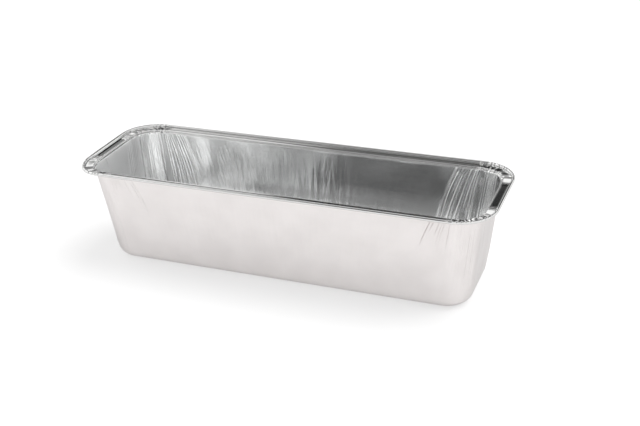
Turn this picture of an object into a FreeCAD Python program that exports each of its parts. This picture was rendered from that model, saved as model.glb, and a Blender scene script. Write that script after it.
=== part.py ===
import FreeCAD
import Part
import math
import os

# Foil grease cup liner: one long tray, drawn from a single blank of thin aluminium foil.
# Millimetres, +Z up, +X along the length. The origin is the middle of the base, which rests on z = 0.

# Overall size, over the rolled edge
length = 290.0
width = 96.0
height = 70.8

# The foil
foil = 0.12

# Tapered wall and base
end_draft = 6.5              # degrees that each end wall leans out
side_draft = 4.5             # degrees that each side wall leans out
base_bend_r = 8.0            # outside radius between base and wall
wall_corner_r = 16.8         # outside radius of the wall's corners, under the rim
base_corner_r = 17.5         # the same, where the wall's faces would meet the base plane

# Rim, from the wall outwards: a small step, a flat flange and an edge rolled over and under
wall_bend_r = 0.6            # mid-line radius, wall to step
step_bend_r = 0.4            # mid-line radius of the step's other two bends
step_rise = 0.3              # straight part of the step
flange_flat = 4.7            # straight part of the flange
foot_bend_r = 0.4            # mid-line radius, flange to rolled edge
roll_d = 2.2                 # outside diameter of the rolled edge
roll_stand = 2.0             # top of the rolled edge above the top of the flange
roll_turn = 310.0            # degrees that the edge is rolled

# Folds that take up the spare foil in the flange's four corners
folds_per_corner = 14
fold_width = 1.1
fold_height = 0.35
fold_end_gap = 0.2           # flat foil left at each end of a fold

# Sizes that follow from those above
roll_r = (roll_d - foil) / 2
roll_z = height - roll_d / 2
flange_z = height - roll_stand - foil / 2
rim_z = flange_z - 2 * step_bend_r - step_rise - wall_bend_r
foot_straight = roll_z - flange_z - foot_bend_r
flange_start = wall_bend_r + 2 * step_bend_r - foil / 2
flange_end = flange_start + flange_flat
overhang = flange_end + foot_bend_r + roll_r + roll_d / 2
top_length = length - 2 * overhang
top_width = width - 2 * overhang


def rounded_rectangle(size_x, size_y, radius, z):
    """Closed wire of four lines and four quarter circles, centred on the Z axis."""
    corners = [(1, 1), (-1, 1), (-1, -1), (1, -1)]
    arcs = []
    for quarter, (side_x, side_y) in enumerate(corners):
        centre = FreeCAD.Vector(side_x * (size_x / 2 - radius), side_y * (size_y / 2 - radius), z)
        circle = Part.Circle(centre, FreeCAD.Vector(0, 0, 1), radius)
        arcs.append(Part.Arc(circle, quarter * math.pi / 2, (quarter + 1) * math.pi / 2))
    edges = []
    for arc, following in zip(arcs, arcs[1:] + arcs[:1]):
        edges.append(arc.toShape())
        edges.append(Part.LineSegment(arc.EndPoint, following.StartPoint).toShape())
    return Part.Wire(edges)


def wall_outline(z, inset):
    """Outline of the tapered wall's outer face at height z, moved in by inset."""
    below_rim = rim_z - z
    size_x = top_length - 2 * below_rim * math.tan(math.radians(end_draft))
    size_y = top_width - 2 * below_rim * math.tan(math.radians(side_draft))
    radius = wall_corner_r + (base_corner_r - wall_corner_r) * below_rim / rim_z
    return rounded_rectangle(size_x - 2 * inset, size_y - 2 * inset, radius - inset, z)


def tapered_block(low_z, high_z, inset, bend_r):
    """Solid inside the wall's faces, with a rounded lower edge."""
    outlines = [wall_outline(low_z, inset), wall_outline(high_z, inset)]
    block = Part.makeLoft(outlines, True, True)
    low_edges = [edge for edge in block.Edges if edge.BoundBox.ZMax < low_z + foil / 2]
    return block.makeFillet(bend_r, low_edges)


def make_tray():
    """Base, bend and wall, up to where the rim starts."""
    outside = tapered_block(0, rim_z, 0, base_bend_r)
    above_rim = rim_z + foil
    inside = tapered_block(foil, above_rim, foil, base_bend_r - foil)
    return outside.cut(inside)


def foil_strip(start, heading, moves):
    """Face of a strip of foil in the XZ plane, whose mid-line is a chain of straights and bends.

    A straight is its length. A bend is its radius and the degrees turned, anticlockwise positive.
    """
    sides = {1: [], -1: []}
    point = start
    for move in moves:
        forward = FreeCAD.Vector(math.cos(math.radians(heading)), 0, math.sin(math.radians(heading)))
        left = FreeCAD.Vector(-forward.z, 0, forward.x)
        if isinstance(move, tuple):
            radius, turn = move
            centre = point + left * math.copysign(radius, turn)
            places = [turn_about(point, centre, turn * part) for part in (0, 0.5, 1)]
            for side in sides:
                scale = 1 - side * math.copysign(foil / 2, turn) / radius
                ends = [centre + (place - centre) * scale for place in places]
                sides[side].append(Part.Arc(*ends).toShape())
            heading += turn
            point = places[2]
        else:
            place = point + forward * move
            for side in sides:
                offset = left * side * foil / 2
                sides[side].append(Part.LineSegment(point + offset, place + offset).toShape())
            point = place
    caps = []
    for end in (0, -1):
        faces = [sides[side][end].Vertexes[end].Point for side in sides]
        caps.append(Part.LineSegment(*faces).toShape())
    edges = sides[1] + sides[-1] + caps
    return Part.Face(Part.Wire(Part.__sortEdges__(edges)))


def turn_about(point, centre, degrees):
    """The point turned about the centre in the XZ plane, anticlockwise positive."""
    arm = point - centre
    cosine = math.cos(math.radians(degrees))
    sine = math.sin(math.radians(degrees))
    return centre + FreeCAD.Vector(arm.x * cosine - arm.z * sine, 0, arm.x * sine + arm.z * cosine)


def rim_section():
    """Section of the rim. x is measured outwards from the wall's outer face."""
    moves = [
        (wall_bend_r, -90),
        (step_bend_r, 90),
        step_rise,
        (step_bend_r, -90),
        flange_flat,
        (foot_bend_r, 90),
        foot_straight,
        (roll_r, -roll_turn),
    ]
    return foil_strip(FreeCAD.Vector(-foil / 2, 0, rim_z), 90, moves)


def corner_centres():
    """Axes of the four corners, anticlockwise from the one at +X and +Y."""
    half_x = top_length / 2 - wall_corner_r
    half_y = top_width / 2 - wall_corner_r
    signs = [(1, 1), (-1, 1), (-1, -1), (1, -1)]
    return [FreeCAD.Vector(side_x * half_x, side_y * half_y, 0) for side_x, side_y in signs]


def placed(shape, centre, degrees):
    """Copy of a shape drawn at the wall face of a corner's +X side, turned to its place."""
    copy = shape.copy()
    copy.translate(FreeCAD.Vector(wall_corner_r, 0, 0))
    copy.rotate(FreeCAD.Vector(), FreeCAD.Vector(0, 0, 1), degrees)
    copy.translate(centre)
    return copy


def make_rim():
    """The rim's section carried round the four corners and the four sides between them."""
    section = rim_section()
    centres = corner_centres()
    pieces = []
    for quarter, centre in enumerate(centres):
        next_centre = centres[(quarter + 1) % len(centres)]
        corner_start = placed(section, centre, 90 * quarter)
        pieces.append(corner_start.revolve(centre, FreeCAD.Vector(0, 0, 1), 90))
        side_start = placed(section, centre, 90 * (quarter + 1))
        pieces.append(side_start.extrude(next_centre - centre))
    return pieces


def fold_block(drop, end_gap):
    """Roof-shaped block across the flange, lowered by drop, with a ridge along X."""
    low = flange_z - drop
    eaves = low + foil / 2
    ridge = eaves + fold_height
    start_x = flange_start + end_gap
    outline = [
        FreeCAD.Vector(start_x, -fold_width / 2, low),
        FreeCAD.Vector(start_x, fold_width / 2, low),
        FreeCAD.Vector(start_x, fold_width / 2, eaves),
        FreeCAD.Vector(start_x, 0, ridge),
        FreeCAD.Vector(start_x, -fold_width / 2, eaves),
    ]
    face = Part.Face(Part.makePolygon(outline + outline[:1]))
    return face.extrude(FreeCAD.Vector(flange_flat - 2 * end_gap, 0, 0))


def corner_folds(block):
    """Copies of a block fanned round the flange's corners."""
    pitch = 90 / folds_per_corner
    folds = []
    for quarter, centre in enumerate(corner_centres()):
        for number in range(folds_per_corner):
            folds.append(placed(block, centre, 90 * quarter + pitch * (number + 0.5)))
    return folds


def make_liner():
    """Tray and rim in one, with each fold raised out of the flange and hollow beneath."""
    raised = corner_folds(fold_block(0, fold_end_gap))
    hollows = corner_folds(fold_block(foil, fold_end_gap + foil))
    liner = make_tray().multiFuse(make_rim() + raised).cut(Part.makeCompound(hollows))
    return liner.removeSplitter()


liner = make_liner()
solids = liner.Solids
print("solids", len(solids), "valid", liner.isValid(), "volume", round(liner.Volume, 1), "mm3")
print("box", liner.BoundBox)
os.makedirs("parts", exist_ok=True)
solids[0].exportStep("parts/foil_liner.step")
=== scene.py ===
import math
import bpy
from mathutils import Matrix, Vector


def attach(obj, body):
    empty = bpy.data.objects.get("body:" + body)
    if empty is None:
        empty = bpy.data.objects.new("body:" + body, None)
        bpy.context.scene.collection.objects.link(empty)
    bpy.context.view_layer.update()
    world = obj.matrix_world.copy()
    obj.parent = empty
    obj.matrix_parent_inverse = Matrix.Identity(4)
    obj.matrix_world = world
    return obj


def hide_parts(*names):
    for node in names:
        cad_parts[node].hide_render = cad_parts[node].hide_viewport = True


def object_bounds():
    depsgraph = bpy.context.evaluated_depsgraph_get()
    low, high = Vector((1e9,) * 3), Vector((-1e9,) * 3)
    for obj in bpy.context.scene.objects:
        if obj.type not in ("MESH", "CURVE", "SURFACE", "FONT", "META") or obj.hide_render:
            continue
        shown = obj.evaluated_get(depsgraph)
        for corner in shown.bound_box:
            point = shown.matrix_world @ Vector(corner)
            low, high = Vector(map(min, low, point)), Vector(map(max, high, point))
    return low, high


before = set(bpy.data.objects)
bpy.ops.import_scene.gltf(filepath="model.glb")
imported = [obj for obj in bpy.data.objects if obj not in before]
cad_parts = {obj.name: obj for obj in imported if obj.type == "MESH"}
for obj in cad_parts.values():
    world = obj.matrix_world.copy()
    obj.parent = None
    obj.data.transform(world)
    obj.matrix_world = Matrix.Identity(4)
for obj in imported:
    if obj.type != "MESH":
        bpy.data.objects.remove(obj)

from types import SimpleNamespace

import bpy
import numpy as np
from mathutils import Matrix, Vector

# The foil liner is one drawn sheet. Its mesh starts as a grid of rows and columns laid over the sheet's
# middle surface. The rows go from the middle of the base, up the wall, over the rim and round the rolled
# edge, and the columns go round the tray. Waves, creases and folds move the grid along its normals, and
# Solidify gives it the foil's thickness. Lengths are in millimetres until the mesh is made.

MM = 0.001
CAD_LOW, CAD_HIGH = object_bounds()
LENGTH = (CAD_HIGH.x - CAD_LOW.x) / MM
WIDTH = (CAD_HIGH.y - CAD_LOW.y) / MM
HEIGHT = (CAD_HIGH.z - CAD_LOW.z) / MM

# Section of the sheet, in millimetres and degrees, as it is drawn in the part
FOIL = 0.12
END_DRAFT = 6.5
SIDE_DRAFT = 4.5
BASE_BEND_R = 8.0
WALL_CORNER_R = 16.8
BASE_CORNER_R = 17.5
WALL_BEND_R = 0.6
STEP_BEND_R = 0.4
STEP_RISE = 0.3
FLANGE_FLAT = 4.7
FOOT_BEND_R = 0.4
ROLL_D = 2.2
ROLL_STAND = 2.0
ROLL_TURN = 310.0

ROLL_R = (ROLL_D - FOIL) / 2
ROLL_Z = HEIGHT - ROLL_D / 2
FLANGE_Z = HEIGHT - ROLL_STAND - FOIL / 2
RIM_Z = FLANGE_Z - 2 * STEP_BEND_R - STEP_RISE - WALL_BEND_R
FLANGE_START = WALL_BEND_R + 2 * STEP_BEND_R - FOIL / 2
ROLL_START = FLANGE_START + FLANGE_FLAT + FOOT_BEND_R / 2
OVERHANG = FLANGE_START + FLANGE_FLAT + FOOT_BEND_R + ROLL_R + ROLL_D / 2
TOP_HALF_X = LENGTH / 2 - OVERHANG
TOP_HALF_Y = WIDTH / 2 - OVERHANG
SIDE_FLAT = TOP_HALF_X - WALL_CORNER_R       # from a corner's arc to the middle of a long side
END_FLAT = TOP_HALF_Y - WALL_CORNER_R        # from a corner's arc to the middle of an end
HALF_ARC = WALL_CORNER_R * math.pi / 4       # from the middle of a corner to where its arc ends

# Rows of the grid
BASE_SHARES = (0.0, 0.25, 0.5, 0.7, 0.85, 0.95)                # from the base's middle to its bend
BEND_SHARES = (1.0, 0.86, 0.72, 0.58, 0.44, 0.3, 0.15, 0.0)    # from the base to the wall
WALL_DEPTHS = (0.0, 0.32, 1.0)               # shares of the wall's depth where the rows' spacing changes
WALL_ROWS = (16, 13)                         # rows in each of those stretches, from the top
BEND_STEP = 24.0                             # degrees between rows in the rim's bends
STRAIGHT_STEP = 1.2                          # about how far apart rows are in its straights

# Columns of the grid
SIDE_FAN, SIDE_FAN_REACH = 13.0, 6.0         # how far columns lean away from a corner, and how soon
END_FAN, END_FAN_REACH = 4.0, 6.0
FAN_FADE = 1.5                               # power by which that fades to the middle of the side
LEAN_RATE = 2.2                              # power by which columns lean more near the top of the wall
FOLDS = 14                                   # pleats pressed round each corner of the rim
FOLD_WIDTHS = (0.6, 1.4)                     # shares of their mean width
FOLD_SHAPE = (0.0, 0.5, 1.0, 0.5)            # a pleat's columns, as shares of its height, on the wall
SAW = np.array((-1.0, -0.3, 0.4, 1.0))       # and on the flange, where it leans to one side
CREASE_SHAPE = (0.0, 0.5, 1.0, 0.5, 0.0)     # and those of a crease beside the corner
CREASE_WIDTHS = (0.34, 0.5)                  # half of that crease's width
SIDE_CREASES = (10, 0.9, 1.25, 0.12)         # how many, where the first is, their first spacing, and how
END_CREASES = (4, 1.0, 1.7, 0.5)             # much it grows from one to the next
SPACING_SPREAD = 0.2                         # by which each spacing may be off
SIDE_REST, END_REST = 13, 5                  # columns from the last crease to the side's or end's middle

# Relief. Tops and feet are shares of the wall's depth, and ranges are what a crease's size is drawn from.
SEED = 7
CORNERS = (                                  # which way a corner lies, the share of its pleats that lean
    (1, 1, 0.3, (0.6, 1.15), (0.1, 0.26)),   # to the end, and the feet and heights of its creases
    (-1, 1, 0.3, (0.6, 1.15), (0.1, 0.26)),
    (-1, -1, 0.7, (0.15, 0.5), (0.2, 0.42)),
    (1, -1, 0.7, (0.15, 0.6), (0.2, 0.42)),
)
CREASE_TOP, PLEAT_TOP = (-0.1, 0.08), (-0.1, 0.15)
PLEAT_FOOT = (0.4, 1.2)
PLEAT_HEIGHT = (0.12, 0.3)                   # on the wall
CREASE_RISE = (0.03, 0.06)                   # depth before and after its top in which a crease rises
CREASE_FADE = (0.3, 0.01)                    # and before and after its foot, in which it fades
CREASE_SWING, PLEAT_SWING = (0.15, 0.4), (0.03, 0.12)    # how far they wander sideways
SWING_TURN = (3, 8)                          # radians that the wandering turns through down the wall
SWING_STOP = (0.9, 1.0)                      # depths over which it comes to rest
FOLD_HEIGHT = 0.28                           # of the pleats on the flange
FOLD_SPREAD, FOLD_REACH = (0.6, 1.3), 4      # shares of it, and the crease beside the corner that has none
FOLD_AT_WALL, FOLD_GROWTH = 0.7, 0.3         # share of it by the wall, and what the flange adds
FOLD_GROWS = (0.4, FLANGE_START + 0.6)       # distances out between which it is added
BEAD_DEPTH = 0.42                            # of the notches between the beads of the crimped rolled edge
BEAD_SPREAD, BEAD_REACH = (0.5, 1.0), 3
WALL_WAVES = (5, 90, 28, 0.5)                # how many, the longest, the shortest, and how far they lean
WALL_WAVE_HEIGHT = 0.22
WALL_HOLD = (0.0, 0.3, 0.75, 1.0)            # depths over which the rim lets go and the base takes hold
BASE_WAVES = (4, 120, 50, 0.8)
BASE_RISE, BASE_UNEVEN = 0.25, 0.6           # mean lift of the base's middle, and its share that varies
DIPPED_CORNER = 2                            # its place in CORNERS
DIP_OUT, DIP_DOWN = 1.0, 0.8                 # how far the tip of that corner's rim is bent
DIP_FADE = 4                                 # power by which the dip dies away down the wall

# Where the finish changes
CRUMPLE_REACH = 8.0                          # how far past a corner's arc the sheet is wrinkled
CRUMPLE_EASE, CRUMPLE_DEPTH = 0.6, 0.15      # how much less it is below the rim, and at what depth
STREAK_DEPTHS = (0.0, 0.15, 0.55, 1.0)       # depths over which drawing streaks start and stop
END_FACING = (0.8, 1.0)                      # how squarely the rougher walls face an end, as a cosine


def smooth(value, low, high):
    """0 below low, 1 above high, and smooth between."""
    t = np.clip((value - low) / (high - low), 0, 1)
    return t * t * (3 - 2 * t)


# ---------------------------------------------------------------- columns and rows

def stretches(ends, counts):
    """Places along several stretches, each with its own number of equal steps."""
    places = [ends[0]]
    for start, finish, count in zip(ends, ends[1:], counts):
        places.extend(np.linspace(start, finish, count + 1)[1:])
    return np.array(places)


def beside_corner(rng, layout, flat, rest):
    """Columns along a flat side, from a corner to its middle: several to each crease, then wider apart.

    Each row of the result is the distance of a column's crease from the corner, how far the column stands
    from the middle of its crease, its share of the crease's height, and the crease's number. After the
    creases each column stands alone, with number -1.
    """
    count, centre, spacing, growth = layout
    columns = []
    for number in range(count):
        half_width = rng.uniform(*CREASE_WIDTHS)
        for share, height in zip(np.linspace(-1, 1, len(CREASE_SHAPE)), CREASE_SHAPE):
            columns.append((centre, share * half_width, height, number))
        centre += spacing + growth * number + rng.uniform(-SPACING_SPREAD, SPACING_SPREAD)
    for distance in np.geomspace(centre, flat, rest):
        columns.append((distance, 0.0, 0.0, -1))
    return np.array(columns)


def corner_columns(rng):
    """Columns from the middle of an end, round one corner, to the middle of a long side.

    end, side and angle are how far a column is from the corner's arc along the end or the side, or how far
    round the arc. shift is how far it stands from the middle of its crease, shape its share of the crease's
    height, crease the crease's number, and phase its place in a pleat, or -1 outside the arc. place is how
    far round the tray it is from the corner's middle.
    """
    end = beside_corner(rng, END_CREASES, END_FLAT, END_REST)[::-1]
    side = beside_corner(rng, SIDE_CREASES, SIDE_FLAT, SIDE_REST)
    widths = rng.uniform(*FOLD_WIDTHS, FOLDS)
    starts = np.concatenate([[0.0], np.cumsum(widths) / widths.sum()]) * math.pi / 2
    in_fold = len(FOLD_SHAPE)
    arc = np.concatenate([np.linspace(starts[k], starts[k + 1], in_fold + 1)[:-1] for k in range(FOLDS)])
    fold = np.repeat(np.arange(FOLDS), in_fold)
    phase = np.tile(np.arange(in_fold), FOLDS)
    first_fold = END_CREASES[0]
    first_side = first_fold + FOLDS
    side_crease = np.where(side[:, 3] < 0, -1, side[:, 3] + first_side)
    no_end, no_arc, no_side = np.zeros(len(end)), np.zeros(len(arc)), np.zeros(len(side) + 1)
    columns = SimpleNamespace()
    columns.end = np.concatenate([end[:, 0], no_arc, no_side])
    columns.angle = np.concatenate([no_end, arc, no_side + math.pi / 2])
    columns.side = np.concatenate([no_end, no_arc, [0.0], side[:, 0]])
    columns.shift = np.concatenate([-end[:, 1], no_arc, [0.0], side[:, 1]])
    columns.shape = np.concatenate([end[:, 2], np.tile(FOLD_SHAPE, FOLDS), [0.0], side[:, 2]])
    columns.crease = np.concatenate([end[:, 3], fold + first_fold, [-1], side_crease]).astype(int)
    columns.phase = np.concatenate([no_end - 1, phase, [0], no_side[1:] - 1]).astype(int)
    along_arc = (columns.angle - math.pi / 4) * WALL_CORNER_R
    columns.place = along_arc + columns.side - columns.end + columns.shift
    return columns


def section_path(start, heading, moves):
    """Points along straights, each given as its length, and bends, each given as its radius and turn."""
    points = [np.array(start, float)]
    for move in moves:
        forward = np.array([math.cos(math.radians(heading)), math.sin(math.radians(heading))])
        if isinstance(move, tuple):
            radius, turn = move
            left = np.array([-forward[1], forward[0]])
            centre = points[-1] + left * math.copysign(radius, turn)
            arm = points[-1] - centre
            count = round(abs(turn) / BEND_STEP)
            for number in range(1, count + 1):
                angle = math.radians(turn * number / count)
                cosine, sine = math.cos(angle), math.sin(angle)
                turned = [arm[0] * cosine - arm[1] * sine, arm[0] * sine + arm[1] * cosine]
                points.append(centre + np.array(turned))
            heading += turn
        else:
            count = max(1, round(move / STRAIGHT_STEP))
            start_point = points[-1]
            for number in range(1, count + 1):
                points.append(start_point + forward * move * number / count)
    return np.array(points)


def rim_path():
    """Middle line of the rim: distance out from the wall's outer face, and height."""
    foot_straight = ROLL_Z - FLANGE_Z - FOOT_BEND_R
    moves = [
        (WALL_BEND_R, -90), (STEP_BEND_R, 90), STEP_RISE, (STEP_BEND_R, -90),
        FLANGE_FLAT, (FOOT_BEND_R, 90), foot_straight, (ROLL_R, -ROLL_TURN),
    ]
    return section_path((-FOIL / 2, RIM_Z), 90, moves)


def wall_shape(z, angle):
    """Corner centre and middle-surface radius of the wall at height z, for columns at these angles."""
    below = RIM_Z - z
    half_x = TOP_HALF_X - below * math.tan(math.radians(END_DRAFT))
    half_y = TOP_HALF_Y - below * math.tan(math.radians(SIDE_DRAFT))
    radius = WALL_CORNER_R + (BASE_CORNER_R - WALL_CORNER_R) * below / RIM_Z
    return half_x - radius, half_y - radius, np.full_like(angle, radius - FOIL / 2)


def bend_shape(share, angle):
    """The same for the bend at the foot, from share 0 at the wall to 1 at the base, and its height."""
    centre_x, centre_y, radius = wall_shape(0, angle)
    tilt = np.radians(END_DRAFT * np.cos(angle) ** 2 + SIDE_DRAFT * np.sin(angle) ** 2)
    turn = tilt + share * (math.pi / 2 - tilt)
    bend_r = BASE_BEND_R - FOIL / 2
    inset = BASE_BEND_R / np.cos(tilt) - BASE_BEND_R * np.tan(tilt) - bend_r * np.cos(turn) - FOIL / 2
    height = BASE_BEND_R - bend_r * np.sin(turn)
    return centre_x, centre_y, radius - inset, height


def fan(distance, flat, lean, reach):
    """How far along its flat side a column stands at the foot of the wall."""
    return distance + lean * (1 - np.exp(-distance / reach)) * (1 - distance / flat) ** FAN_FADE


def build_corner(columns, creases):
    """One quarter's middle-surface points (row, column, xyz), with each row's depth and kind.

    Depth is 0 at the top of the wall and above it, and 1 at its foot. Kind is base, bend, wall or rim.
    """
    end_foot = fan(columns.end, END_FLAT, END_FAN, END_FAN_REACH)
    side_foot = fan(columns.side, SIDE_FLAT, SIDE_FAN, SIDE_FAN_REACH)
    on_end, on_side = columns.end > 0, columns.side > 0
    side_even = SIDE_FLAT * np.cumsum(on_side) / np.count_nonzero(on_side)
    rows, depths, kinds = [], [], []

    def add_row(centre_x, centre_y, radius, height, depth, kind, share=1.0):
        """A share below 1 evens out the side's columns, so that the two halves of the base meet."""
        lean = 1 - (1 - depth) ** LEAN_RATE
        aside = columns.shift + creases.wander(columns.crease, depth)
        end = columns.end + (end_foot - columns.end) * lean - aside * on_end
        side = columns.side + (side_foot - columns.side) * lean + aside * on_side
        side = side_even + (side - side_even) * share
        angle = columns.angle + aside * ~on_end * ~on_side / WALL_CORNER_R
        x = centre_x * (1 - side / SIDE_FLAT) + radius * np.cos(angle)
        y = centre_y * (1 - end / END_FLAT) + radius * np.sin(angle)
        rows.append(np.stack([x, y, np.broadcast_to(height, x.shape)], axis=-1))
        depths.append(depth)
        kinds.append(kind)

    angle = columns.angle
    floor_x, floor_y, floor_r, floor_z = bend_shape(1.0, angle)
    spine = floor_x - floor_y
    for share in BASE_SHARES:
        centre_x = spine + (floor_x - spine) * share
        add_row(centre_x, floor_y * share, floor_r * share, floor_z, 1.0, "base", share)
    for share in BEND_SHARES:
        add_row(*bend_shape(share, angle), 1.0, "bend")
    foot_z = bend_shape(0.0, angle)[3]
    wall_depths = stretches(WALL_DEPTHS, WALL_ROWS)
    for depth in wall_depths[-2::-1]:
        height = foot_z + (RIM_Z - foot_z) * (1 - depth)
        add_row(*wall_shape(float(np.mean(height)), angle), height, float(depth), "wall")
    top_x, top_y, _ = wall_shape(RIM_Z, angle)
    for out, height in rim_path()[1:]:
        add_row(top_x, top_y, np.full_like(angle, WALL_CORNER_R + out), height, 0.0, "rim")
    return np.array(rows), np.array(depths), np.array(kinds)


def ring(quarters):
    """Joins the four corners' values (..., column, value) round the tray, each shared column once."""
    turned = [
        values if number % 2 == 0 else values[..., ::-1, :]
        for number, values in enumerate(quarters)
    ]
    return np.concatenate([values[..., :-1, :] for values in turned], axis=-2)


def grid_normals(grid):
    """Unit normals that point to the tray's inside."""
    along = np.roll(grid, -1, axis=1) - np.roll(grid, 1, axis=1)
    across = np.gradient(grid, axis=0)
    normal = np.cross(across, along)
    size = np.linalg.norm(normal, axis=2, keepdims=True)
    return normal / np.maximum(size, 1e-9)


# ---------------------------------------------------------------- relief

def slow_waves(rng, across, down, count, longest, shortest, tilt):
    """Sum of gentle waves, about -1 to 1, that mostly run across and lean by up to tilt."""
    total = np.zeros(np.broadcast(across, down).shape)
    for _ in range(count):
        turn = 2 * math.pi / rng.uniform(shortest, longest)
        total += np.sin(turn * (across + rng.uniform(-tilt, tilt) * down) + rng.uniform(0, 2 * math.pi))
    return total / math.sqrt(count)


def wall_waves(rng, grid, depths, kinds):
    """Oil-can waves of the long walls and ends, which the rim and the base bend hold flat."""
    x, y, z = grid[..., 0], grid[..., 1], grid[..., 2]
    rim_low, rim_high, base_low, base_high = WALL_HOLD
    hold = smooth(depths, rim_low, rim_high) * (1 - smooth(depths, base_low, base_high))
    hold = hold[:, None] * (kinds == "wall")[:, None]
    relief = np.zeros(x.shape)
    for half in (y < 0, y > 0):
        relief += WALL_WAVE_HEIGHT * slow_waves(rng, x, z, *WALL_WAVES) * hold * half
    return relief


def base_swell(rng, grid, kinds):
    """Gentle rise of the base off the floor, which the bend round it holds down."""
    rows = np.arange(len(kinds))[:, None]
    hold = (1 - smooth(rows, 0, np.count_nonzero(kinds == "base"))) * (kinds == "base")[:, None]
    waves = slow_waves(rng, grid[..., 0], grid[..., 1], *BASE_WAVES)
    return BASE_RISE * np.maximum(1 + BASE_UNEVEN * waves, 0) * hold


class Creases:
    """Sizes of one corner's creases and pleats, the last of which is flat and stands for no crease."""

    def __init__(self, rng, leaning, feet, heights):
        ends, sides = END_CREASES[0], SIDE_CREASES[0]
        count = ends + FOLDS + sides
        away = np.concatenate([np.arange(1, ends + 1), np.zeros(FOLDS), np.arange(1, sides + 1)])
        beside = away > 0

        def draw(crease_range, pleat_range):
            return np.where(beside, rng.uniform(*crease_range, count), rng.uniform(*pleat_range, count))

        self.ridge = draw(heights, PLEAT_HEIGHT)
        self.top = draw(CREASE_TOP, PLEAT_TOP)
        self.foot = draw(feet, PLEAT_FOOT)
        self.fold = FOLD_HEIGHT * rng.uniform(*FOLD_SPREAD, count) * np.clip(1 - away / FOLD_REACH, 0, 1)
        self.lean = np.where(rng.uniform(0, 1, count) < leaning, -1.0, 1.0)
        self.bead = BEAD_DEPTH * rng.uniform(*BEAD_SPREAD, count) * np.clip(1 - away / BEAD_REACH, 0, 1)
        self.swing = draw(CREASE_SWING, PLEAT_SWING)
        self.turns = rng.uniform(*SWING_TURN, count)
        self.start = rng.uniform(0, 2 * math.pi, count)
        for name, values in vars(self).items():
            setattr(self, name, np.append(values, 0.0))

    def wander(self, crease, depth):
        """How far each column's crease has strayed sideways at this depth."""
        stray = np.sin(depth * self.turns[crease] + self.start[crease]) - np.sin(self.start[crease])
        return self.swing[crease] * stray * (1 - smooth(depth, *SWING_STOP))

    def relief(self, columns, depths, kinds, rim_rows):
        """Height of the sheet over its smooth shape, row by row."""
        crease, phase = columns.crease, columns.phase
        down = depths[:, None]
        top, foot = self.top[crease], self.foot[crease]
        rise = smooth(down, top - CREASE_RISE[0], top + CREASE_RISE[1])
        fade = smooth(down, foot - CREASE_FADE[0], foot + CREASE_FADE[1])
        total = self.ridge[crease] * columns.shape * (rise * (1 - fade)) * (kinds == "wall")[:, None]
        saw = np.where(phase >= 0, SAW[phase] * self.lean[crease], columns.shape)
        notch = np.where(phase >= 0, phase == 0, columns.shape == 1)
        first = len(kinds) - len(rim_rows)
        for row, (out, _) in enumerate(rim_rows, first):
            if out > ROLL_START:
                total[row] = -self.bead[crease] * notch
            else:
                share = FOLD_AT_WALL + FOLD_GROWTH * smooth(out, *FOLD_GROWS)
                total[row] = self.fold[crease] * saw * share
        return total


def sag(place, depths):
    """Weight of the dip in a bent corner, 1 at its tip."""
    tip = np.cos(np.clip(place / HALF_ARC, -1, 1) * math.pi / 2) ** 2
    return tip * ((1 - depths) ** DIP_FADE)[:, None]


# ---------------------------------------------------------------- mesh

def build_grid():
    """The whole tray's displaced middle surface, and the values that each point carries for the material.

    Those are its place on the flat blank, its place along the rim and up from the base, how crumpled and
    how stretched the sheet is there, and whether it is on the rim and on an end wall.
    """
    rng = np.random.default_rng(SEED)
    rim_rows = rim_path()[1:]
    quarters, reliefs, outwards, places = [], [], [], []
    for sign_x, sign_y, leaning, feet, heights in CORNERS:
        columns, creases = corner_columns(rng), Creases(rng, leaning, feet, heights)
        quarter, depths, kinds = build_corner(columns, creases)
        quarters.append(quarter * (sign_x, sign_y, 1))
        reliefs.append(creases.relief(columns, depths, kinds, rim_rows)[..., None])
        facing = [sign_x * np.cos(columns.angle), sign_y * np.sin(columns.angle)]
        outwards.append(np.stack(facing, axis=-1))
        places.append(columns.place[:, None])
    corner = np.repeat(np.arange(len(CORNERS)), quarter.shape[1] - 1)
    grid, relief = ring(quarters), ring(reliefs)[..., 0]
    outward, place = ring(outwards), ring(places)[:, 0]
    outward = np.concatenate([outward, np.zeros((len(outward), 1))], axis=1)
    on_wall, on_base = kinds == "wall", kinds == "base"
    first_bend, first_wall = int(np.argmax(kinds == "bend")), int(np.argmax(on_wall))

    steps = np.linalg.norm(np.diff(grid, axis=0), axis=2)
    below = np.zeros((first_bend + 1, grid.shape[1]))
    grown = np.concatenate([below, np.cumsum(steps[first_bend:], axis=0)])
    blank = np.where(on_base[:, None, None], grid, grid[first_bend]) + grown[..., None] * outward
    drawn = np.stack([np.broadcast_to(place, grown.shape), grown, np.zeros_like(grown)], axis=-1)

    relief = relief + wall_waves(rng, grid, depths, kinds)
    moved = grid + relief[..., None] * grid_normals(grid)
    moved[..., 2] += base_swell(rng, grid, kinds)
    dip = sag(place, depths) * (corner == DIPPED_CORNER)
    moved += dip[..., None] * (outward * DIP_OUT + np.array([0, 0, -DIP_DOWN]))

    near_corner = 1 - smooth(np.abs(place), HALF_ARC, HALF_ARC + CRUMPLE_REACH)
    crumple = near_corner[None, :] * (1 - CRUMPLE_EASE * smooth(depths[:, None], 0, CRUMPLE_DEPTH))
    rim = np.broadcast_to((kinds == "rim")[:, None].astype(float), grown.shape)
    start_low, start_high, stop_low, stop_high = STREAK_DEPTHS
    streaked = on_wall * smooth(depths, start_low, start_high) * (1 - smooth(depths, stop_low, stop_high))
    stretched = np.broadcast_to(streaked[:, None], grown.shape)
    climb = smooth(np.arange(len(kinds)), first_bend, first_wall)
    end = climb[:, None] * smooth(np.abs(outward[:, 0]), *END_FACING)
    return moved, {
        "blank": blank * MM, "drawn": drawn * MM,
        "crumple": crumple, "rim": rim, "stretched": stretched, "end": end,
    }


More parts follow.
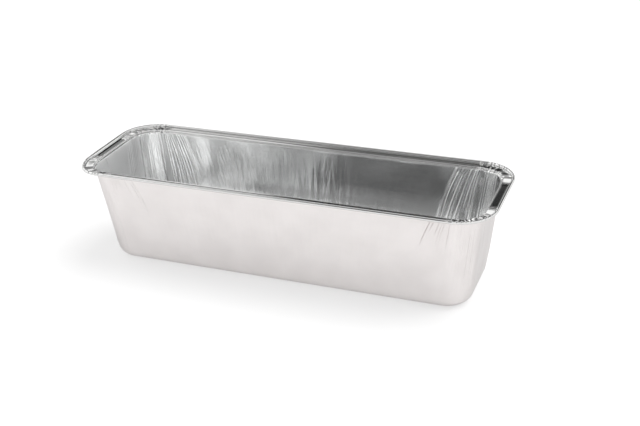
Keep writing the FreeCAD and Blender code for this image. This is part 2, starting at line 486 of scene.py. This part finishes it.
def make_mesh(name, grid, values):
    """Mesh of the grid in metres, with the points that meet along the middle of the base made one."""
    rounded = np.round(grid.reshape(-1, 3), 6) + 0.0    # the sum turns -0 into 0
    points, first, index = np.unique(rounded, axis=0, return_index=True, return_inverse=True)
    index = index.reshape(grid.shape[:2])
    faces = []
    for row in range(grid.shape[0] - 1):
        for column in range(grid.shape[1]):
            following = (column + 1) % grid.shape[1]
            ring_points = (
                index[row, column], index[row, following],
                index[row + 1, following], index[row + 1, column],
            )
            corners = list(dict.fromkeys(int(point) for point in ring_points))
            if len(corners) > 2:
                faces.append(corners)
    mesh = bpy.data.meshes.new(name)
    mesh.from_pydata((points * MM).tolist(), [], faces)
    for key, value in values.items():
        kind, field = ("FLOAT_VECTOR", "vector") if value.ndim == 3 else ("FLOAT", "value")
        flat = value.reshape(grid.shape[0] * grid.shape[1], -1)[first]
        mesh.attributes.new(key, kind, "POINT")
        mesh.attributes[key].data.foreach_set(field, flat.ravel())
    mesh.polygons.foreach_set("use_smooth", np.ones(len(faces), bool))
    return mesh


SHARP_ANGLE = 38.0      # degrees between faces from which an edge is shaded sharp


def thicken(piece, thickness):
    """Makes a sheet a closed mesh, thickened half to each side, and marks the face that is inward."""
    sheet_points = len(piece.data.vertices)
    modifier = piece.modifiers.new("foil", "SOLIDIFY")
    modifier.thickness = thickness
    modifier.offset = 0
    bpy.context.view_layer.update()
    solid = bpy.data.meshes.new_from_object(piece.evaluated_get(bpy.context.evaluated_depsgraph_get()))
    piece.modifiers.clear()
    piece.data = solid
    solid.name = piece.name
    solid.set_sharp_from_angle(angle=math.radians(SHARP_ANGLE))
    solid.attributes.new("inward", "FLOAT", "POINT")
    inward = (np.arange(len(solid.vertices)) >= sheet_points).astype(float)
    solid.attributes["inward"].data.foreach_set("value", inward)


def make_liner(material):
    """The finished sheet, in place of the part's plain solid."""
    piece = bpy.data.objects.new("foil_tray", make_mesh("foil_sheet", *build_grid()))
    bpy.context.scene.collection.objects.link(piece)
    thicken(piece, FOIL * MM)
    piece.data.materials.append(material)
    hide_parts("foil_liner")
    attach(piece, "root")


# ---------------------------------------------------------------- material

# Each finish as its darker and its lighter tone
BRIGHT = ((0.897, 0.9, 0.899, 1), (0.917, 0.92, 0.92, 1))
# Outside: partly the foil's own duller tone, and partly painted shade that darkens it as if it mirrored
# darker surroundings
DULL_AND_PAINTED_SHADE = ((0.735, 0.704, 0.696, 1), (0.775, 0.744, 0.736, 1))
# Rim: painted shade, darker than the foil, standing in for the dark surroundings that its flange and roll
# mirror
RIM_PAINTED_SHADE = ((0.69, 0.69, 0.685, 1), (0.73, 0.73, 0.725, 1))
# Edge tints below white darken the foil where it is seen edge-on: painted shade for the dark line along the
# foot and the dark edges of the outline
DULL_EDGE, BRIGHT_EDGE = (0.75, 0.75, 0.75, 1), (0.6, 0.6, 0.6, 1)    # specular tint, for grazing views

# Roughness between the rolling lines and on them
OUTER_ROUGH = (0.28, 0.36)
INNER_ROUGH = (0.115, 0.155)
END_ROUGH = (0.4, 0.48)
RIM_ROUGH = (0.07, 0.1)

# Noise: about how many waves to the metre, along the blank and across it, or round the tray and up it
TONE_SCALE = 45.0
LINE_SCALE = (12, 900, 900)
WRINKLE_SCALE = (420, 40, 1)
STREAK_SCALE = (170, 28, 1)
TONE_RANGE = (0.35, 0.65)    # values of the noise that give the darker and the lighter tone
LINE_RANGE = (0.3, 0.7)      # and those that are between the lines and on them

# Heights in metres of the relief that is only in the material
LINE_BUMP_HEIGHT = 0.0001
LINE_BUMP = 0.004            # the share of it that shows
STREAK_BUMP_HEIGHT = 0.0003
WRINKLE_BUMP_HEIGHT = 0.00015


def add_node(tree, kind, inputs=None, **settings):
    """Adds a node with these settings. An input that is a socket is linked, and any other is set."""
    node = tree.nodes.new(kind)
    for name, value in settings.items():
        setattr(node, name, value)
    for name, value in (inputs or {}).items():
        if isinstance(value, bpy.types.NodeSocket):
            tree.links.new(value, node.inputs[name])
        else:
            node.inputs[name].default_value = value
    return node


def foil_material():
    """Aluminium foil: bright inside, duller outside, smoother on the rim and rougher inside the end walls.
    Outside, its colour is partly painted shade; on the rim and where it is seen edge-on, its darkness is
    painted shade.

    Its relief is rolling lines, upright streaks where it was stretched, and fine wrinkles by the corners.
    """
    material = bpy.data.materials.new("foil")
    material.use_nodes = True
    tree = material.node_tree
    shader = tree.nodes["Principled BSDF"]
    shader.inputs["Metallic"].default_value = 1.0

    def attribute(name, output="Fac"):
        return add_node(tree, "ShaderNodeAttribute", attribute_name=name).outputs[output]

    def mapped(vector, scale):
        return add_node(tree, "ShaderNodeMapping", {"Vector": vector, "Scale": scale}).outputs["Vector"]

    def noise(scale, detail, vector):
        return add_node(
            tree, "ShaderNodeTexNoise", {"Vector": vector, "Scale": scale, "Detail": detail}
        ).outputs["Fac"]

    def spread(value, low, high, start, finish):
        bounds = {"From Min": low, "From Max": high, "To Min": start, "To Max": finish}
        return add_node(tree, "ShaderNodeMapRange", {"Value": value, **bounds}).outputs["Result"]

    def mix_colour(share, first, second):
        inputs = {0: share, 6: first, 7: second}
        return add_node(tree, "ShaderNodeMix", inputs, data_type="RGBA").outputs[2]

    def mix_value(share, first, second):
        return add_node(tree, "ShaderNodeMix", {0: share, 2: first, 3: second}).outputs[0]

    def bump(height, strength, distance, below=None):
        inputs = {"Height": height, "Strength": strength, "Distance": distance}
        if below is not None:
            inputs["Normal"] = below
        return add_node(tree, "ShaderNodeBump", inputs).outputs["Normal"]

    blank, drawn = attribute("blank", "Vector"), attribute("drawn", "Vector")
    inward, rim, end = attribute("inward"), attribute("rim"), attribute("end")
    lines = noise(1.0, 2.0, mapped(blank, LINE_SCALE))
    wrinkles = noise(1.0, 2.0, mapped(drawn, WRINKLE_SCALE))
    streaks = noise(1.0, 3.0, mapped(drawn, STREAK_SCALE))

    tone = spread(noise(TONE_SCALE, 3.0, blank), *TONE_RANGE, 0.0, 1.0)
    # Outside, the colour is partly painted shade, and on the rim it is painted shade
    bright, dull_and_painted_shade, rim_painted_shade = (mix_colour(tone, *tones) for tones in (BRIGHT, DULL_AND_PAINTED_SHADE, RIM_PAINTED_SHADE))
    colour = mix_colour(rim, mix_colour(inward, dull_and_painted_shade, bright), rim_painted_shade)
    tree.links.new(colour, shader.inputs["Base Color"])
    # The darker edge tints paint the shade along the foot and at the edges of the outline
    tree.links.new(mix_colour(inward, DULL_EDGE, BRIGHT_EDGE), shader.inputs["Specular Tint"])

    outer_rough, inner_rough, end_rough, rim_rough = (
        spread(lines, *LINE_RANGE, *bounds) for bounds in (OUTER_ROUGH, INNER_ROUGH, END_ROUGH, RIM_ROUGH)
    )
    rough = mix_value(inward, outer_rough, mix_value(end, inner_rough, end_rough))
    tree.links.new(mix_value(rim, rough, rim_rough), shader.inputs["Roughness"])

    normal = bump(lines, LINE_BUMP, LINE_BUMP_HEIGHT)
    normal = bump(streaks, attribute("stretched"), STREAK_BUMP_HEIGHT, normal)
    normal = bump(wrinkles, attribute("crumple"), WRINKLE_BUMP_HEIGHT, normal)
    tree.links.new(normal, shader.inputs["Normal"])
    return material


# ---------------------------------------------------------------- studio

# Lengths in this section are in metres.
FLOOR_HALF = 4.0             # half its width
FLOOR_GAP = 0.0002           # between the floor and the base
FLOOR_COLOUR = (0.9, 0.9, 0.9, 1)
FLOOR_ROUGH = 0.8
FLOOR_GLOW = 0.5             # the share of it that glows where it is looked at

CAMERA_PLACE = (0.25778, -0.60557, 0.35686)
CAMERA_TURN, CAMERA_DROP, CAMERA_ROLL = 21.563, 26.001, -1.941    # degrees left, down, anticlockwise
CAMERA_LENS, CAMERA_SENSOR = 60.04, 36                            # these two in millimetres

KEY_TURN, KEY_RISE = -55.0, 62.0     # where the key lamp stands: degrees left of the back, and up
KEY_WIDTH = 50.0                     # how wide it looks, which keeps its shadows soft
KEY_STRENGTH = 2.4

# Brightness of what the foil mirrors above the floor. Degrees are left of the back, or up from the floor.
BACKDROP = 1.0                       # all round, up to where the room takes over
BACKDROP_END = (9, 12)
ROOM = 1.75                          # the room's walls
CEILING = 0.35
CEILING_START = (36, 52)
# Parts of the room that differ: brightness, then the degrees left between which one comes in and between
# which it goes out, and the same upward. A later one covers those before it.
PATCHES = (
    (0.04, (-10, -2, 22, 25), (8, 14, 20, 24)),        # unlit, behind the tray
    (0.04, (18, 22, 30, 34), (15, 18, 22, 26)),        # beside there
    (0.04, (-58, -44, 46, 56), (20, 24, 60, 70)),      # and above
    (2.00, (22, 26, 36, 40), (25, 28, 34, 37)),        # a small lamp behind the back left corner
    (1.30, (-8, 4, 42, 56), (40, 46, 70, 80)),         # and a larger one over the back
    (1.50, (22, 25, 29, 31), (8, 12, 21.6, 22.6)),     # a lit strip of wall below the small lamp
    (0.30, (30, 33, 46, 56), (8, 14, 22, 26)),         # a gap at the back of the left wall
    (2.20, (-48, -43, -28, -20), (10, 14, 22, 26)),    # a lamp low on the right of the back
    (0.90, (-179, -170, -56, -48), (10, 14, 26, 30)),  # dimmer low on the right
    (1.45, (46, 60, 135, 150), (8, 12, 54, 64)),       # the left wall
    (0.08, (130, 138, 174, 180), (8, 12, 22, 26)),     # unlit, on the left of the front
    (0.20, (136, 148, 174, 180), (20, 24, 60, 70)),    # and above
    (1.60, (139, 144, 154, 159), (26, 28, 36, 38)),    # a small lamp there
)


def bearing(turn, rise):
    """Unit direction that is this many degrees left of the back and up."""
    turn, rise = math.radians(turn), math.radians(rise)
    return Vector((-math.sin(turn) * math.cos(rise), math.cos(turn) * math.cos(rise), math.sin(rise)))


def math_node(tree, operation, *values):
    return add_node(tree, "ShaderNodeMath", dict(enumerate(values)), operation=operation).outputs[0]


def make_floor():
    """Wide floor just under the base.

    It glows in part where the camera, metal or glass sees it, which makes it white and keeps the shadow.
    """
    mesh = bpy.data.meshes.new("floor")
    corners = [(-1, -1), (1, -1), (1, 1), (-1, 1)]
    mesh.from_pydata([(x * FLOOR_HALF, y * FLOOR_HALF, 0) for x, y in corners], [], [(0, 1, 2, 3)])
    floor = bpy.data.objects.new("floor", mesh)
    floor.location.z = CAD_LOW.z - FLOOR_GAP
    bpy.context.scene.collection.objects.link(floor)
    material = bpy.data.materials.new("floor")
    material.use_nodes = True
    tree = material.node_tree
    shader = tree.nodes["Principled BSDF"]
    shader.inputs["Base Color"].default_value = FLOOR_COLOUR
    shader.inputs["Roughness"].default_value = FLOOR_ROUGH
    shader.inputs["Specular IOR Level"].default_value = 0.0
    path = add_node(tree, "ShaderNodeLightPath").outputs
    seen = math_node(tree, "MAXIMUM", path["Is Camera Ray"], path["Is Glossy Ray"])
    seen = math_node(tree, "MAXIMUM", seen, path["Is Transmission Ray"])
    share = math_node(tree, "MULTIPLY", seen, FLOOR_GLOW)
    glow = add_node(tree, "ShaderNodeEmission", {"Color": (1, 1, 1, 1), "Strength": 1.0}).outputs[0]
    mixed = add_node(tree, "ShaderNodeMixShader", {0: share, 1: shader.outputs[0], 2: glow}).outputs[0]
    tree.links.new(mixed, tree.nodes["Material Output"].inputs["Surface"])
    mesh.materials.append(material)


def make_camera():
    """Camera from the near right, above the rim, rolled a little clockwise."""
    turn, roll = math.radians(CAMERA_TURN), math.radians(CAMERA_ROLL)
    ahead = bearing(CAMERA_TURN, -CAMERA_DROP)
    level = Vector((math.cos(turn), math.sin(turn), 0))
    up = level.cross(ahead)
    right = level * math.cos(roll) + up * math.sin(roll)
    over = up * math.cos(roll) - level * math.sin(roll)
    data = bpy.data.cameras.new("camera")
    data.lens = CAMERA_LENS
    data.sensor_width = CAMERA_SENSOR
    camera = bpy.data.objects.new("camera", data)
    turned = Matrix((right, over, -ahead)).transposed().to_4x4()
    camera.matrix_world = Matrix.Translation(Vector(CAMERA_PLACE)) @ turned
    bpy.context.scene.collection.objects.link(camera)
    bpy.context.scene.camera = camera


def make_key_lamp():
    """Soft lamp from the right and behind, for the floor and the shadow. The foil doesn't mirror it."""
    data = bpy.data.lights.new("key", "SUN")
    data.angle = math.radians(KEY_WIDTH)
    data.energy = KEY_STRENGTH
    lamp = bpy.data.objects.new("key", data)
    lamp.rotation_euler = (-bearing(KEY_TURN, KEY_RISE)).to_track_quat("-Z", "Y").to_euler()
    lamp.visible_glossy = False
    bpy.context.scene.collection.objects.link(lamp)


def make_world():
    """White backdrop round the horizon, and over it a room with lit walls, lamps and unlit parts."""
    world = bpy.data.worlds.new("studio")
    world.use_nodes = True
    tree = world.node_tree
    direction = add_node(tree, "ShaderNodeTexCoord").outputs["Generated"]
    axes = add_node(tree, "ShaderNodeSeparateXYZ", {0: direction}).outputs
    azimuth = math_node(tree, "ARCTAN2", math_node(tree, "MULTIPLY", axes["X"], -1.0), axes["Y"])
    height = math_node(tree, "ARCSINE", axes["Z"])

    def ramp(value, low, high, start=0.0, finish=1.0):
        bounds = {"From Min": math.radians(low), "From Max": math.radians(high)}
        inputs = {"Value": value, **bounds, "To Min": start, "To Max": finish}
        return add_node(
            tree, "ShaderNodeMapRange", inputs, interpolation_type="SMOOTHSTEP"
        ).outputs["Result"]

    def window(value, edges):
        """1 between the middle two edges, fading to 0 at the outer ones."""
        coming, going = ramp(value, edges[0], edges[1]), ramp(value, edges[2], edges[3], 1.0, 0.0)
        return math_node(tree, "MULTIPLY", coming, going)

    room = ramp(height, *CEILING_START, ROOM, CEILING)
    for level, left_edges, up_edges in PATCHES:
        inside = math_node(tree, "MULTIPLY", window(azimuth, left_edges), window(height, up_edges))
        room = add_node(tree, "ShaderNodeMix", {0: inside, 2: room, 3: level}).outputs[0]
    room = math_node(tree, "MULTIPLY", room, ramp(height, *BACKDROP_END, 0.0, 1.0))
    strength = math_node(tree, "ADD", room, ramp(height, *BACKDROP_END, BACKDROP, 0.0))
    background = tree.nodes["Background"]
    background.inputs["Color"].default_value = (1, 1, 1, 1)
    tree.links.new(strength, background.inputs["Strength"])
    bpy.context.scene.world = world


make_liner(foil_material())
make_floor()
make_camera()
make_world()
make_key_lamp()
bpy.context.scene.view_settings.view_transform = "Standard"
